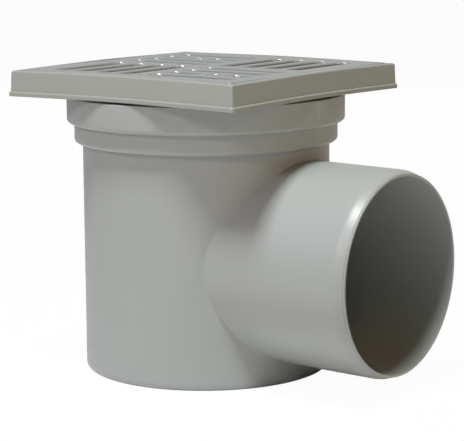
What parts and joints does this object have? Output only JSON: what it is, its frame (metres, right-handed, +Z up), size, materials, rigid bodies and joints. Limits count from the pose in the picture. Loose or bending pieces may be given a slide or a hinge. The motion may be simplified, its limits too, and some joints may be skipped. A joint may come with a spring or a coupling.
{
  "type": "gully trap",
  "caption": "Round floor gully with a side outlet, a square frame that lifts and turns in its collar, a slotted lift-out grate, and a bell trap hanging in the pot.",
  "frame": {"origin": "on the pot's axis at its flat bottom", "axes": "+Z up along the pot's axis, +X along the outlet towards its mouth"},
  "size_m": [0.2044, 0.1534, 0.1672],
  "materials": {
    "pot_plastic": "smooth grey moulded plastic",
    "grate_plastic": "smooth blue-grey moulded plastic",
    "trap_plastic": "smooth grey moulded plastic",
    "seal_rubber": "black rubber"
  },
  "bodies": {
    "pot": {"pot": "pot_plastic", "trap_bowl": "trap_plastic", "bowl_seal": "seal_rubber", "bell": "trap_plastic"},
    "seal_ring": {"neck_seal": "seal_rubber"},
    "frame": {"frame": "pot_plastic", "grate": "grate_plastic"}
  },
  "joints": [
    {"name": "frame_height", "type": "slide", "parent": "pot", "child": "seal_ring", "axis": [0, 0, 1], "range_m": [0, 0.005]},
    {"name": "frame_turn", "type": "hinge", "parent": "seal_ring", "child": "frame", "pos_m": [0, 0, 0.14], "axis": [0, 0, 1], "continuous": true}
  ]
}
